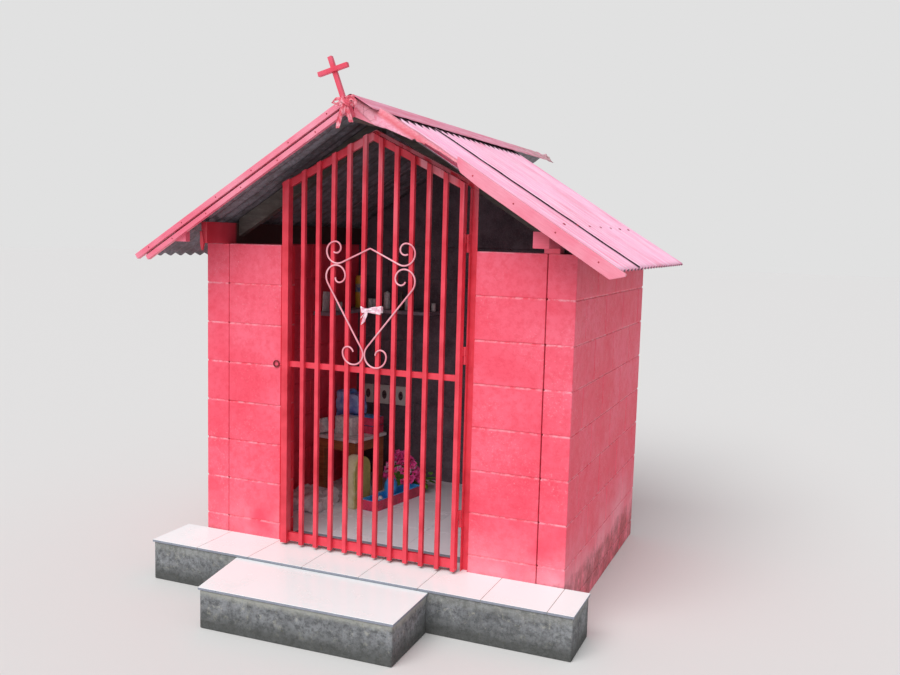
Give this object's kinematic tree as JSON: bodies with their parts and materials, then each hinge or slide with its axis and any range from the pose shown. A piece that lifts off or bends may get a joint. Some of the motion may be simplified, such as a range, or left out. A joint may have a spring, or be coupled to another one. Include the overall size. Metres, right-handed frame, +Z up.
{
  "type": "wayside shrine",
  "caption": "Small block-built wayside shrine with a corrugated gable roof, a leaning roof cross, a tiled porch and step, and an outward-opening barred gate with a scrolled heart.",
  "frame": {"origin": "centre of the bounding box in plan, on the ground", "axes": "+Z up, +Y from the gate into the building along the ridge, +X to the right of someone facing the gate"},
  "size_m": [2.4, 3.3184, 2.4836],
  "materials": {
    "painted_blocks": "concrete blocks under red masonry paint",
    "porch_concrete": "weathered cast concrete",
    "porch_tile": "white glazed floor tiles",
    "floor_tile": "pale grey glazed floor tiles",
    "painted_timber": "sawn timber under red gloss paint",
    "bare_timber": "weathered unpainted timber",
    "roof_sheet": "galvanised corrugated sheet, painted pink-red on top",
    "flashing": "folded galvanised sheet, painted red",
    "rag": "knotted cloth soaked with red paint",
    "gate_paint": "steel under red gloss paint",
    "scroll_paint": "steel rod under faded pale pink paint",
    "hinge_steel": "steel hinge under red paint",
    "ribbon": "pale cotton strip",
    "latch": "weathered steel ring",
    "shelf_board": "painted board",
    "goods": "small jars and bottles",
    "table_white": "white laminated table top",
    "table_wood": "varnished wood",
    "boxes": "packets and boxes",
    "tablet": "white glazed tablets",
    "cream_stone": "cream painted slab",
    "tray_plastic": "moulded tray"
  },
  "bodies": {
    "shrine": {"porch_slab": "porch_concrete", "porch_tiles": "porch_tile", "landing_block": "porch_concrete", "landing_tile": "porch_tile", "floor_slab": "porch_concrete", "floor_tiles": "floor_tile", "front_wall_left": "painted_blocks", "front_wall_right": "painted_blocks", "side_wall_left": "painted_blocks", "side_wall_right": "painted_blocks", "back_wall": "painted_blocks", "back_gable": "painted_blocks", "wall_plate_left": "painted_timber", "wall_plate_right": "painted_timber", "ridge_pole": "bare_timber", "front_rafters": "bare_timber", "roof_sheets_left": "roof_sheet", "roof_sheets_right": "roof_sheet", "ridge_cap": "flashing", "barge_batten_left": "painted_timber", "barge_board_left": "painted_timber", "barge_stub_right": "painted_timber", "barge_flashing_right": "flashing", "barge_board_right": "painted_timber", "cross_upright": "painted_timber", "cross_arm": "painted_timber", "cross_lashing": "rag", "door_posts": "gate_paint", "door_head": "gate_paint", "hinge_pins": "hinge_steel", "latch_ring": "latch", "shelf": "shelf_board", "shelf_candles": "goods", "table_top": "table_white", "table_frame": "table_wood", "table_boxes": "boxes", "white_tablets": "tablet", "round_topped_slab": "cream_stone", "floor_tray": "tray_plastic"},
    "gate": {"gate_stiles": "gate_paint", "gate_bars": "gate_paint", "gate_rails": "gate_paint", "gate_top_rails": "gate_paint", "gate_scroll_top": "scroll_paint", "gate_scroll_left": "scroll_paint", "gate_scroll_right": "scroll_paint", "gate_ribbon": "ribbon", "gate_hinge_barrels": "hinge_steel"}
  },
  "joints": [
    {"name": "gate_hinge", "type": "hinge", "parent": "shrine", "child": "gate", "pos_m": [0.44585, -1.01621, 0.2], "axis": [0, 0, 1], "range_deg": [0, 60]}
  ]
}
